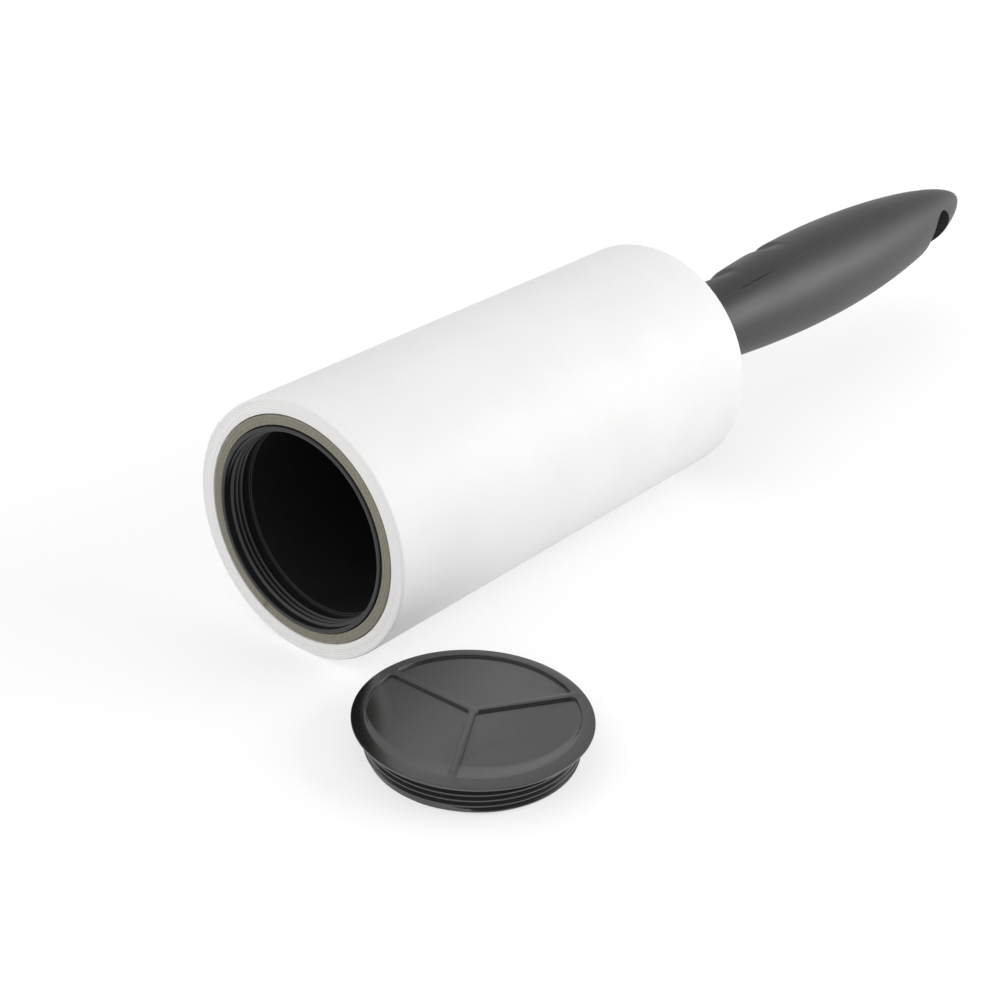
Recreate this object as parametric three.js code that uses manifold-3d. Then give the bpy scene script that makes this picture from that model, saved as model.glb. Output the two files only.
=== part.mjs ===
// Lint roller with a hidden compartment: a paper refill on a hollow drum that spins on a
// two-shell handle. The drum's screw cap is off and lies on the floor beside its mouth.
// Millimetres, +Z up. The roller's axis runs along X, from the open mouth (-X) to the
// handle's tip (+X). The origin is on the floor, under the middle of the paper roll.

import * as THREE from 'three';
import { mergeVertices } from 'three/addons/utils/BufferGeometryUtils.js';
import Module from 'manifold-3d';

const wasm = await Module();
wasm.setup();

// Driving dimensions: refill
const ROLL_LENGTH = 101.6;
const STACK_THICKNESS = 3.05;
const SHEET_EDGE = 0.2;
const SHEET_EDGE_ANGLE = 35;
const REST_FLAT = 0.3;
const CORE_BORE = 38.1;
const CORE_WALL = 1.8;
const WINDING_GAP = 0.1;

// Driving dimensions: drum
const DRUM_WALL = 1.0;
const DRUM_RIB = 0.35;
const DRUM_RIB_WIDTH = 2.0;
const DRUM_RIBS = 6;
const CORE_CLEARANCE = 0.2;
const MOUTH_SEAT = 0.7;
const MOUTH_WALL = 0.8;
const MOUTH_COLLAR = 8.0;
const END_PLAY = 0.3;
const FLANGE_COVER = 1.4;
const FLANGE_THICKNESS = 1.6;
const WEB_THICKNESS = 3.6;
const FLOOR_LEDGE = 0.6;
const AXLE_HEADROOM = 0.9;
const FLOOR_THICKNESS = 1.7;
const FLOOR_RIM = 3.0;

// Driving dimensions: axle
const SPINDLE_DIAMETER = 8.0;
const BEARING_CLEARANCE = 0.1;
const BUSH_WALL = 0.9;
const BUSH_LENGTH = 16.0;
const BUSH_FLANGE = 1.2;
const BUSH_SEAT_GAP = 0.1;
const HUB_WALL = 2.4;
const BOSS_STEP = 1.5;
const BOSS_REACH = 1.4;
const WASHER_THICKNESS = 1.0;
const THRUST_WASHER_WIDTH = 3.4;
const AXLE_WASHER_REACH = 2.0;
const AXIAL_GAP = 0.3;
const SPINDLE_FLANGE_THICKNESS = 3.0;
const SPINDLE_INSET = 28.0;
const SEAT_CLEARANCE = 0.15;
const SCREW_SHANK = 3.5;
const SCREW_LENGTH = 12.0;
const SCREW_HEAD = 7.5;
const SCREW_HEAD_HEIGHT = 2.4;
const SCREW_PILOT = 4.0;

// Driving dimensions: handle
const HANDLE_LENGTH = 128.0;
const NECK_DIAMETER = 16.0;
const NECK_LENGTH = 16.0;
const NECK_WALL = 1.5;
const GRIP_THICKNESS = 22.0;
const GRIP_WIDTH = 21.0;
const GRIP_NOSE = 65.0;
const NOSE_POWER_THICK = 1.75;
const NOSE_POWER_WIDE = 2.35;
const GRIP_TURN = 25;
const SHELL_WALL = 2.4;
const PARTING_GAP = 0.12;
const GROOVE_DEPTH = 1.4;
const GROOVE_PLACES = [28.5, 47.1];
const GROOVE_LEAD = 6.0;
const GROOVE_STEEP = 2.0;
const HANG_HOLE = 12.0;
const HANG_HOLE_FROM_TIP = 18.9;
const HANG_HOLE_ROUNDING = 0.9;
const EYE_WALL = 1.6;
const RIB_THICKNESS = 2.4;
const PIN_DIAMETER = 3.2;
const PIN_LENGTH = 5.0;
const PIN_BOSS = 6.6;
const PIN_CLEARANCE = 0.15;
const PIN_FROM_NECK = 58.0;
const PIN_FROM_HOLE = 21.6;

// Driving dimensions: cap
const CAP_OVERLAP = 0.85;
const CAP_FLANGE_HEIGHT = 1.0;
const CAP_FLANGE_DRAFT = 0.3;
const CAP_SKIRT_LENGTH = 5.4;
const CAP_SKIRT_WALL = 1.6;
const CAP_THREAD_ROOM = 0.4;
const CAP_EDGE_ROUNDING = 0.55;
const CAP_RIM_WIDTH = 1.35;
const CAP_PANEL_DEPTH = 0.9;
const CAP_PANEL_DISH = 0.3;
const CAP_PLATE = 1.2;
const CAP_RIB_WIDTH = 1.4;
const CAP_RIB_ANGLES = [90, 210, 330];
const CAP_AHEAD = 2.0;
const CAP_ASIDE = 17.55;

// Facets of round surfaces
const ROLL_FACETS = 72;
const ROUND_FACETS = 48;
const SMALL_FACETS = 32;
const GRIP_FACETS = 40;
const HOLLOW_FACETS = 24;
const GRIP_STEP = 7;
const HOLLOW_STEP = 12;

// Places that follow from the driving dimensions
const CORE_RADIUS = CORE_BORE / 2 + CORE_WALL;
const ROLL_RADIUS = CORE_RADIUS + WINDING_GAP + STACK_THICKNESS;
const AXIS_HEIGHT = ROLL_RADIUS - REST_FLAT;
const MOUTH_X = -ROLL_LENGTH / 2 - END_PLAY;
const FLANGE_X = ROLL_LENGTH / 2 + END_PLAY;
const FLANGE_BACK_X = FLANGE_X + FLANGE_THICKNESS;
const BOSS_BACK_X = FLANGE_BACK_X + BOSS_REACH;
const WASHER_X = BOSS_BACK_X + AXIAL_GAP;
const NECK_X = WASHER_X + WASHER_THICKNESS + AXIAL_GAP;
const TIP_X = NECK_X + HANDLE_LENGTH;
const GRIP_PEAK_X = TIP_X - GRIP_NOSE;
const NECK_END_X = NECK_X + NECK_LENGTH;
const HANG_HOLE_X = TIP_X - HANG_HOLE_FROM_TIP;
const DRUM_RIB_RADIUS = CORE_BORE / 2 - CORE_CLEARANCE;
const DRUM_RADIUS = DRUM_RIB_RADIUS - DRUM_RIB;
const DRUM_BORE = DRUM_RADIUS - DRUM_WALL;
const MOUTH_BORE = DRUM_RIB_RADIUS - MOUTH_WALL;
const MOUTH_DEPTH = CAP_SKIRT_LENGTH + MOUTH_SEAT;
const FLANGE_RADIUS = CORE_RADIUS + FLANGE_COVER;
const BUSH_RADIUS = SPINDLE_DIAMETER / 2 + BEARING_CLEARANCE + BUSH_WALL;
const HUB_BORE = BUSH_RADIUS + BUSH_SEAT_GAP;
const HUB_X = BOSS_BACK_X - BUSH_LENGTH;
const HUB_RADIUS = HUB_BORE + HUB_WALL;
const SPINDLE_END_X = HUB_X - BUSH_FLANGE - AXIAL_GAP;
const SPINDLE_FLANGE_RADIUS = NECK_DIAMETER / 2 - NECK_WALL;
const SCREW_SEAT_X = SPINDLE_END_X - 2 * AXIAL_GAP - WASHER_THICKNESS;
const LEDGE_X = SCREW_SEAT_X - SCREW_HEAD_HEIGHT - AXLE_HEADROOM;
const FLOOR_X = LEDGE_X - AXIAL_GAP - FLOOR_RIM;
const CAP_RADIUS = CORE_BORE / 2 + CAP_OVERLAP;
const CAP_HEIGHT = CAP_SKIRT_LENGTH + CAP_FLANGE_HEIGHT;
const CAP_SKIRT_RADIUS = MOUTH_BORE - CAP_THREAD_ROOM;
const CAP_RIM_RADIUS = CAP_RADIUS - CAP_EDGE_ROUNDING - CAP_RIM_WIDTH;

const turn = THREE.MathUtils.degToRad;

// Closed solid from a three.js geometry, with its faces turned outward
function solid(geometry) {
  const bare = geometry.clone();
  bare.deleteAttribute('normal');
  bare.deleteAttribute('uv');
  const merged = mergeVertices(bare, 1e-4);
  const corners = merged.index.array;
  const places = Float32Array.from(merged.attributes.position.array);
  const kept = [];
  let volume = 0;
  const a = new THREE.Vector3();
  const b = new THREE.Vector3();
  const c = new THREE.Vector3();
  for (let i = 0; i < corners.length; i += 3) {
    const [p, q, r] = [corners[i], corners[i + 1], corners[i + 2]];
    if (p !== q && q !== r && r !== p) {
      kept.push(p, q, r);
      a.fromArray(places, 3 * p);
      b.fromArray(places, 3 * q);
      c.fromArray(places, 3 * r);
      volume += a.dot(b.cross(c));
    }
  }
  if (volume < 0) {
    kept.reverse();
  }
  const triangles = Uint32Array.from(kept);
  return new wasm.Manifold(new wasm.Mesh({ numProp: 3, vertProperties: places, triVerts: triangles }));
}

function geometryOf(body) {
  const { numProp, vertProperties, triVerts } = body.getMesh();
  const places = new Float32Array(3 * (vertProperties.length / numProp));
  for (let i = 0; i < places.length / 3; i += 1) {
    for (let k = 0; k < 3; k += 1) {
      places[3 * i + k] = vertProperties[numProp * i + k];
    }
  }
  const geometry = new THREE.BufferGeometry();
  geometry.setAttribute('position', new THREE.BufferAttribute(places, 3));
  geometry.setIndex([...triVerts]);
  geometry.computeVertexNormals();
  return geometry;
}

// Named piece with its own plain material
function piece(name, body, colour, roughness) {
  const material = new THREE.MeshStandardMaterial({ color: colour, roughness, metalness: 0 });
  const mesh = new THREE.Mesh(geometryOf(body), material);
  mesh.name = name;
  return mesh;
}

// Solid of revolution about X; the outline's points are [x, radius]
function revolve(outline, facets = ROUND_FACETS) {
  const points = outline.map(([x, radius]) => new THREE.Vector2(radius, x));
  const geometry = new THREE.LatheGeometry(points, facets);
  geometry.rotateZ(-Math.PI / 2);
  return solid(geometry);
}

// Tube about X between two places, closed on itself
function tube(fromX, toX, outer, inner, facets = ROUND_FACETS) {
  return revolve([[fromX, inner], [fromX, outer], [toX, outer], [toX, inner], [fromX, inner]], facets);
}

// Round bar about X between two places
function bar(fromX, toX, radius, facets = ROUND_FACETS) {
  return revolve([[fromX, 0], [fromX, radius], [toX, radius], [toX, 0]], facets);
}

// Box between two opposite corners
function block(low, high) {
  const size = high.map((value, i) => value - low[i]);
  const geometry = new THREE.BoxGeometry(...size);
  geometry.translate(...high.map((value, i) => (value + low[i]) / 2));
  return solid(geometry);
}

// Round bar along Y, for the pins, their bosses and the hanging hole
function crossBar(x, fromY, toY, radius, facets = SMALL_FACETS) {
  const geometry = new THREE.CylinderGeometry(radius, radius, toY - fromY, facets);
  geometry.translate(x, (fromY + toY) / 2, 0);
  return solid(geometry);
}

// Wound sheets: the outside shrinks by one sheet's edge over the last turn, and the
// bottom is pressed flat where the roll rests
function paperRoll() {
  const edge = turn(SHEET_EDGE_ANGLE);
  const outline = new THREE.Shape();
  for (let i = 0; i <= ROLL_FACETS; i += 1) {
    const share = i / ROLL_FACETS;
    const angle = edge + 2 * Math.PI * share;
    const here = ROLL_RADIUS - SHEET_EDGE * (1 - share);
    if (i === 0) {
      outline.moveTo(here * Math.cos(angle), here * Math.sin(angle));
    } else {
      outline.lineTo(here * Math.cos(angle), here * Math.sin(angle));
    }
  }
  const bore = new THREE.Path();
  bore.absarc(0, 0, CORE_RADIUS + WINDING_GAP, 0, 2 * Math.PI, true);
  outline.holes.push(bore);
  const settings = { depth: ROLL_LENGTH, bevelEnabled: false, curveSegments: ROUND_FACETS };
  const geometry = new THREE.ExtrudeGeometry(outline, settings);
  geometry.translate(0, 0, -ROLL_LENGTH / 2);
  geometry.applyMatrix4(new THREE.Matrix4().set(0, 0, 1, 0, 1, 0, 0, 0, 0, 1, 0, 0, 0, 0, 0, 1));
  const deep = [-ROLL_LENGTH, -ROLL_RADIUS, -2 * ROLL_RADIUS];
  const below = block(deep, [ROLL_LENGTH, ROLL_RADIUS, -AXIS_HEIGHT]);
  return solid(geometry).subtract(below);
}

function cardboardCore() {
  return tube(-ROLL_LENGTH / 2, ROLL_LENGTH / 2, CORE_RADIUS, CORE_BORE / 2);
}

// Container with a threaded mouth, ribs that grip the core, a rear flange that stops the
// core, and a hub for the bush
function drum() {
  const boss = HUB_RADIUS + BOSS_STEP;
  const shell = revolve([
    [MOUTH_X, MOUTH_BORE],
    [MOUTH_X, DRUM_RIB_RADIUS],
    [MOUTH_X + MOUTH_COLLAR, DRUM_RIB_RADIUS],
    [MOUTH_X + MOUTH_COLLAR + DRUM_RIB, DRUM_RADIUS],
    [FLANGE_X, DRUM_RADIUS],
    [FLANGE_X, FLANGE_RADIUS],
    [FLANGE_BACK_X, FLANGE_RADIUS],
    [FLANGE_BACK_X, boss],
    [BOSS_BACK_X, boss],
    [BOSS_BACK_X, HUB_BORE],
    [HUB_X, HUB_BORE],
    [HUB_X, HUB_RADIUS],
    [FLANGE_BACK_X - WEB_THICKNESS, HUB_RADIUS],
    [FLANGE_BACK_X - WEB_THICKNESS, DRUM_BORE - FLOOR_LEDGE],
    [LEDGE_X, DRUM_BORE - FLOOR_LEDGE],
    [LEDGE_X, DRUM_BORE],
    [MOUTH_X + MOUTH_DEPTH, DRUM_BORE],
    [MOUTH_X + MOUTH_DEPTH, MOUTH_BORE],
    [MOUTH_X, MOUTH_BORE],
  ]);
  const ring = tube(MOUTH_X + MOUTH_COLLAR, FLANGE_X, DRUM_RIB_RADIUS, DRUM_RADIUS - DRUM_WALL / 2);
  let body = shell;
  for (let i = 0; i < DRUM_RIBS; i += 1) {
    const half = DRUM_RIB_WIDTH / 2;
    const rib = block([MOUTH_X, 0, -half], [FLANGE_BACK_X, DRUM_RADIUS + DRUM_WALL, half]);
    body = body.add(rib.rotate([(360 * i) / DRUM_RIBS, 0, 0]).intersect(ring));
  }
  return body;
}

// Shallow cup that snaps in front of the ledge and hides the axle screw
function compartmentFloor() {
  const outer = DRUM_BORE - BUSH_SEAT_GAP;
  const inner = outer - FLOOR_THICKNESS;
  return revolve([
    [FLOOR_X, 0],
    [FLOOR_X, outer],
    [FLOOR_X + FLOOR_RIM, outer],
    [FLOOR_X + FLOOR_RIM, inner],
    [FLOOR_X + FLOOR_THICKNESS, inner],
    [FLOOR_X + FLOOR_THICKNESS, 0],
  ]);
}

function hubBush() {
  const bore = SPINDLE_DIAMETER / 2 + BEARING_CLEARANCE;
  return revolve([
    [HUB_X - BUSH_FLANGE, bore],
    [HUB_X - BUSH_FLANGE, BUSH_RADIUS + BUSH_WALL],
    [HUB_X - BUSH_SEAT_GAP, BUSH_RADIUS + BUSH_WALL],
    [HUB_X - BUSH_SEAT_GAP, BUSH_RADIUS],
    [BOSS_BACK_X, BUSH_RADIUS],
    [BOSS_BACK_X, bore],
    [HUB_X - BUSH_FLANGE, bore],
  ], SMALL_FACETS);
}

// Axle with a flange that the handle's ribs trap, and a pilot hole for the screw
function spindle() {
  const radius = SPINDLE_DIAMETER / 2;
  const flangeX = NECK_X + RIB_THICKNESS + AXIAL_GAP;
  const back = flangeX + SPINDLE_FLANGE_THICKNESS;
  return revolve([
    [SPINDLE_END_X + SCREW_LENGTH, 0],
    [SPINDLE_END_X + SCREW_LENGTH, SCREW_PILOT / 2],
    [SPINDLE_END_X, SCREW_PILOT / 2],
    [SPINDLE_END_X, radius],
    [flangeX, radius],
    [flangeX, SPINDLE_FLANGE_RADIUS],
    [back, SPINDLE_FLANGE_RADIUS],
    [back, radius],
    [NECK_X + SPINDLE_INSET, radius],
    [NECK_X + SPINDLE_INSET, 0],
  ], SMALL_FACETS);
}

function thrustWasher() {
  const bore = SPINDLE_DIAMETER / 2 + BEARING_CLEARANCE;
  return tube(WASHER_X, WASHER_X + WASHER_THICKNESS, bore + THRUST_WASHER_WIDTH, bore, SMALL_FACETS);
}

function axleWasher() {
  const back = SPINDLE_END_X - AXIAL_GAP;
  const outer = SPINDLE_DIAMETER / 2 + AXLE_WASHER_REACH;
  const bore = SCREW_SHANK / 2 + BEARING_CLEARANCE;
  return tube(back - WASHER_THICKNESS, back, outer, bore, SMALL_FACETS);
}

// Pan-head screw with a cross recess
function axleScrew() {
  const top = SCREW_SEAT_X - SCREW_HEAD_HEIGHT;
  const head = SCREW_HEAD / 2;
  const shank = SCREW_SHANK / 2;
  const body = revolve([
    [top, 0],
    [top, head * 0.6],
    [top + SCREW_HEAD_HEIGHT * 0.35, head * 0.92],
    [SCREW_SEAT_X, head],
    [SCREW_SEAT_X, shank],
    [SCREW_SEAT_X + SCREW_LENGTH - shank, shank],
    [SCREW_SEAT_X + SCREW_LENGTH, 0],
  ], SMALL_FACETS);
  const slot = SCREW_HEAD * 0.28;
  const width = SCREW_HEAD * 0.07;
  const deep = top + SCREW_HEAD_HEIGHT * 0.5;
  const cross = block([top - 1, -slot, -width], [deep, slot, width])
    .add(block([top - 1, -width, -slot], [deep, width, slot]));
  return body.subtract(cross);
}

// Half size of the handle's section at x, from the neck's radius to the grip's half size:
// a parabola up to the grip's widest place, then half a superellipse to the tip
function swell(x, gripHalf, nosePower) {
  const neck = NECK_DIAMETER / 2;
  if (x >= GRIP_PEAK_X) {
    const share = Math.min((x - GRIP_PEAK_X) / GRIP_NOSE, 1);
    return gripHalf * (1 - share ** nosePower) ** (1 / nosePower);
  }
  const share = Math.min((GRIP_PEAK_X - x) / (GRIP_PEAK_X - NECK_END_X), 1);
  return neck + (gripHalf - neck) * (1 - share * share);
}

// Depth of the finger grooves on the handle's back, at x and at an angle from the back
function groove(x, fromBack) {
  const reach = Math.max(Math.cos(fromBack), 0);
  const fade = THREE.MathUtils.smoothstep(reach, 0.3, 0.9);
  let depth = 0;
  for (const place of GROOVE_PLACES) {
    const away = x - NECK_X - place;
    const length = away < 0 ? GROOVE_LEAD : GROOVE_STEEP;
    const near = Math.max(1 - Math.abs(away) / length, 0);
    depth += GROOVE_DEPTH * THREE.MathUtils.smoothstep(near, 0, 1);
  }
  return depth * fade;
}

// Places along the handle where its sections are drawn: even steps, closer together
// towards the tip and, on the outside, at the grooves
function stations(from, to, grooved) {
  const places = new Set([from, to]);
  const step = grooved ? GRIP_STEP : HOLLOW_STEP;
  for (let x = from + step; x < GRIP_PEAK_X + HOLLOW_STEP; x += step) {
    places.add(x);
  }
  for (const place of grooved ? GROOVE_PLACES : []) {
    for (const share of [-1, -0.66, -0.33, 0]) {
      places.add(NECK_X + place + share * GROOVE_LEAD);
    }
    for (const share of [0.35, 0.7, 1]) {
      places.add(NECK_X + place + share * GROOVE_STEEP);
    }
  }
  for (let angle = 12; angle < 90; angle += grooved ? 6 : 12) {
    places.add(GRIP_PEAK_X + GRIP_NOSE * Math.sin(turn(angle)));
  }
  const inside = [...places].filter((x) => x >= from && x <= to).sort((a, b) => a - b);
  return inside.filter((x, i) => i === 0 || x - inside[i - 1] > 0.2);
}

// Closed loft through oval sections, drawn in by the wall for the hollow. The local -Y
// side is the front and the local Z direction is the ridge where the shells meet
function gripLoft(from, to, inset) {
  const grooved = inset === 0;
  const facets = grooved ? GRIP_FACETS : HOLLOW_FACETS;
  const places = [];
  const corners = [];
  const rows = stations(from, to, grooved);
  places.push(rows[0], 0, 0);
  for (const x of rows) {
    const thick = Math.max(swell(x, GRIP_THICKNESS / 2, NOSE_POWER_THICK) - inset, 0.02);
    const wide = Math.max(swell(x, GRIP_WIDTH / 2, NOSE_POWER_WIDE) - inset, 0.02);
    for (let i = 0; i < facets; i += 1) {
      const angle = (2 * Math.PI * i) / facets;
      const cut = grooved ? groove(x, angle) : 0;
      places.push(x, (thick - cut) * Math.cos(angle), wide * Math.sin(angle));
    }
  }
  places.push(rows[rows.length - 1], 0, 0);
  const last = places.length / 3 - 1;
  for (let i = 0; i < facets; i += 1) {
    const next = (i + 1) % facets;
    corners.push(0, 1 + next, 1 + i);
    for (let row = 0; row < rows.length - 1; row += 1) {
      const here = 1 + row * facets;
      const ahead = here + facets;
      corners.push(here + i, here + next, ahead + i);
      corners.push(ahead + i, here + next, ahead + next);
    }
    const end = 1 + (rows.length - 1) * facets;
    corners.push(last, end + i, end + next);
  }
  const geometry = new THREE.BufferGeometry();
  geometry.setAttribute('position', new THREE.Float32BufferAttribute(places, 3));
  geometry.setIndex(corners);
  return solid(geometry);
}

// Bore along local Y whose ends flare with a round lip
function hangingBore() {
  const half = GRIP_THICKNESS;
  const radius = HANG_HOLE / 2;
  const face = swell(HANG_HOLE_X, GRIP_THICKNESS / 2, NOSE_POWER_THICK);
  const lip = HANG_HOLE_ROUNDING;
  const points = [
    [0, -half], [radius + 2 * lip, -half], [radius + lip, -face - lip], [radius + lip / 3, -face + lip],
    [radius, -face + 2.5 * lip], [radius, face - 2.5 * lip], [radius + lip / 3, face - lip],
    [radius + lip, face + lip], [radius + 2 * lip, half], [0, half],
  ];
  const geometry = new THREE.LatheGeometry(points.map(([r, y]) => new THREE.Vector2(r, y)), SMALL_FACETS);
  geometry.translate(HANG_HOLE_X, 0, 0);
  return solid(geometry);
}

// Both halves of the handle, in its own frame before it is turned
function handleShells() {
  const outside = gripLoft(NECK_X, TIP_X, 0);
  const hollow = gripLoft(NECK_X + RIB_THICKNESS, TIP_X - 1.5 * SHELL_WALL, SHELL_WALL);
  const eye = crossBar(HANG_HOLE_X, -GRIP_THICKNESS, GRIP_THICKNESS, HANG_HOLE / 2 + EYE_WALL);
  const flangeBack = NECK_X + RIB_THICKNESS + 2 * AXIAL_GAP + SPINDLE_FLANGE_THICKNESS;
  const bulkheads = [flangeBack, NECK_X + SPINDLE_INSET - 2 * RIB_THICKNESS];
  let filled = eye;
  for (const x of bulkheads) {
    const far = x + RIB_THICKNESS;
    filled = filled.add(block([x, -GRIP_THICKNESS, -GRIP_WIDTH], [far, GRIP_THICKNESS, GRIP_WIDTH]));
  }
  const spindleBore = SPINDLE_DIAMETER / 2 + SEAT_CLEARANCE;
  const spindleSeat = bar(NECK_X - 1, NECK_X + SPINDLE_INSET + 1, spindleBore, SMALL_FACETS);
  const flangeBore = SPINDLE_FLANGE_RADIUS + AXIAL_GAP;
  const flangeSeat = bar(NECK_X + RIB_THICKNESS, flangeBack, flangeBore, SMALL_FACETS);
  let both = outside.subtract(hollow.subtract(filled)).subtract(hangingBore());
  both = both.subtract(spindleSeat).subtract(flangeSeat);

  const gap = PARTING_GAP / 2;
  const frontSide = block([0, -GRIP_WIDTH, -GRIP_WIDTH], [2 * TIP_X, -gap, GRIP_WIDTH]);
  const backSide = block([0, gap, -GRIP_WIDTH], [2 * TIP_X, GRIP_WIDTH, GRIP_WIDTH]);
  let front = both.intersect(frontSide);
  let back = both.intersect(backSide);
  for (const x of [NECK_X + PIN_FROM_NECK, HANG_HOLE_X - PIN_FROM_HOLE]) {
    const boss = crossBar(x, -GRIP_THICKNESS, GRIP_THICKNESS, PIN_BOSS / 2).intersect(outside);
    const socket = crossBar(x, -PIN_LENGTH - AXIAL_GAP, gap, PIN_DIAMETER / 2 + PIN_CLEARANCE);
    const pin = crossBar(x, -PIN_LENGTH, 2 * SHELL_WALL, PIN_DIAMETER / 2);
    front = front.add(boss.intersect(frontSide)).subtract(socket);
    back = back.add(boss.intersect(backSide)).add(pin);
  }
  return { front, back };
}

// Screw cap, skirt down: a flange with a rounded edge, a raised rim and a Y of ribs over
// three dished panels
function cap() {
  const hollow = CAP_SKIRT_RADIUS - CAP_SKIRT_WALL;
  const panel = CAP_HEIGHT - CAP_PANEL_DEPTH;
  const outline = [
    [0, panel - CAP_PLATE],
    [hollow, panel - CAP_PLATE],
    [hollow, 0],
    [CAP_SKIRT_RADIUS, 0],
    [CAP_SKIRT_RADIUS, CAP_SKIRT_LENGTH],
    [CAP_RADIUS - CAP_FLANGE_DRAFT, CAP_SKIRT_LENGTH],
    [CAP_RADIUS - CAP_FLANGE_DRAFT * 0.2, CAP_SKIRT_LENGTH + CAP_FLANGE_HEIGHT * 0.18],
    [CAP_RADIUS, CAP_SKIRT_LENGTH + CAP_FLANGE_HEIGHT * 0.4],
    [CAP_RADIUS - CAP_EDGE_ROUNDING * 0.2, CAP_HEIGHT - CAP_FLANGE_HEIGHT * 0.32],
    [CAP_RADIUS - CAP_EDGE_ROUNDING * 0.55, CAP_HEIGHT - CAP_FLANGE_HEIGHT * 0.09],
    [CAP_RADIUS - CAP_EDGE_ROUNDING, CAP_HEIGHT],
    [CAP_RIM_RADIUS, CAP_HEIGHT],
    [CAP_RIM_RADIUS, panel],
    [CAP_RIM_RADIUS / 2, panel - CAP_PANEL_DISH * 0.75],
    [0, panel - CAP_PANEL_DISH],
  ];
  const lathe = new THREE.LatheGeometry(outline.map(([r, z]) => new THREE.Vector2(r, z)), ROLL_FACETS);
  lathe.rotateX(Math.PI / 2);
  let body = solid(lathe);
  for (const angle of CAP_RIB_ANGLES) {
    const half = CAP_RIB_WIDTH / 2;
    const foot = panel - CAP_PANEL_DISH - CAP_PLATE / 2;
    const rib = block([0, -half, foot], [CAP_RIM_RADIUS + CAP_RIM_WIDTH / 2, half, CAP_HEIGHT]);
    body = body.add(rib.rotate([0, 0, angle]));
  }
  return body;
}

const BLACK = 0x1c1c1d;
const DARK_GREY = 0x5f5f60;
const CAP_GREY = 0x6a6a6b;
const PAPER = 0xf2f2f0;
const CARD = 0x8c8a7a;
const STEEL = 0xb4b6b8;
const NYLON = 0xd9d6cc;

const roller = new THREE.Group();
roller.position.z = AXIS_HEIGHT;
roller.add(
  piece('paper_roll', paperRoll(), PAPER, 0.6),
  piece('cardboard_core', cardboardCore(), CARD, 0.9),
  piece('drum', drum(), BLACK, 0.4),
  piece('compartment_floor', compartmentFloor(), BLACK, 0.4),
  piece('hub_bush', hubBush(), NYLON, 0.5),
  piece('spindle', spindle(), STEEL, 0.3),
  piece('thrust_washer', thrustWasher(), NYLON, 0.5),
  piece('axle_washer', axleWasher(), STEEL, 0.3),
  piece('axle_screw', axleScrew(), STEEL, 0.3),
);

const shells = handleShells();
const handle = new THREE.Group();
handle.rotation.x = turn(GRIP_TURN);
handle.add(
  piece('handle_front_shell', shells.front, DARK_GREY, 0.4),
  piece('handle_back_shell', shells.back, DARK_GREY, 0.4),
);
roller.add(handle);

const capPiece = piece('cap', cap(), CAP_GREY, 0.5);
capPiece.position.set(MOUTH_X - CAP_AHEAD, -ROLL_RADIUS - CAP_ASIDE, 0);

const object = new THREE.Group();
object.add(roller, capPiece);

export default object;
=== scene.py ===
# Lint roller with a hidden compartment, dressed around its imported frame. Metres, +Z up.
import math
import random

import bmesh
import bpy
from mathutils import Matrix, Vector


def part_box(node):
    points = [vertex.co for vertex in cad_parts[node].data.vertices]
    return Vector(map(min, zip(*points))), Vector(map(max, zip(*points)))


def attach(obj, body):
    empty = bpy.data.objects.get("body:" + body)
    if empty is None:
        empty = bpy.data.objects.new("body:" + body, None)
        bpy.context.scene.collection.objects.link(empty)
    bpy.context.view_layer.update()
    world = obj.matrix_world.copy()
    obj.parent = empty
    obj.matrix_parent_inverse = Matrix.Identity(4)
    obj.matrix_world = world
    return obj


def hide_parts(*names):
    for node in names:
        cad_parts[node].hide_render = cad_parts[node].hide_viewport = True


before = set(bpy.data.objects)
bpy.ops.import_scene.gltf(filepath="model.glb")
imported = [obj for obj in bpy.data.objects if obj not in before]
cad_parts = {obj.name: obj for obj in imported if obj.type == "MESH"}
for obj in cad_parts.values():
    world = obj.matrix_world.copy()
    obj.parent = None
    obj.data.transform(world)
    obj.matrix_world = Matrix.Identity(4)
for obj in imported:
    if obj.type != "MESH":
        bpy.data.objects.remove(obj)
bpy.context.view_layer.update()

MM = 0.001

# Places and sizes read from the frame
core_low, core_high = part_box("cardboard_core")
drum_low, drum_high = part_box("drum")
cap_low, cap_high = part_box("cap")
shell_low, shell_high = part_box("handle_front_shell")
_, floor_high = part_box("compartment_floor")
AXIS_Z = (core_low.z + core_high.z) / 2
ROLL_END = core_high.x
CORE_RADIUS = (core_high.z - core_low.z) / 2
MOUTH_X = drum_low.x
FLANGE_RADIUS = (drum_high.y - drum_low.y) / 2
NECK_X = shell_low.x
TIP_X = shell_high.x
CAP_CENTRE = (cap_low + cap_high) / 2
CAP_RADIUS = (cap_high.x - cap_low.x) / 2
CAP_HEIGHT = cap_high.z - cap_low.z

# Viewpoint of the photograph, fitted to the outlines of roll, cap and handle
CAMERA_LENS = 70.826
CAMERA_PLACE = (-0.2597, -0.20645, 0.18856)
CAMERA_FORWARD = (0.69367, 0.54251, -0.47383)
CAMERA_ROLL = math.radians(2.78)

# Softbox that lights the object from the right, with its power in watts
SOFTBOX_PLACE = (0.8, -1.0, 0.58)
SOFTBOX_TARGET = (0.03, 0.0, 0.02)
SOFTBOX_WIDTH = 1.2
SOFTBOX_HEIGHT = 0.8
SOFTBOX_POWER = 12

# Strength of the surroundings: the same all round, and what each axis adds towards its plus side
# and towards its minus side
SKY_EVEN = 0.04
SKY_POSITIVE = (0.16, 0.52, 0.52)
SKY_NEGATIVE = (1.14, 0, 0)

# Floor and backdrop
FLOOR_HALF = 40.0
FLOOR_TONE = 0.8
FLOOR_GLOW = 1.35
FLOOR_GLOW_SHARE = 0.45
BACKDROP_RADIUS = 38.0
BACKDROP_HEIGHT = 10.0
BACKDROP_STEPS = 48

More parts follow.
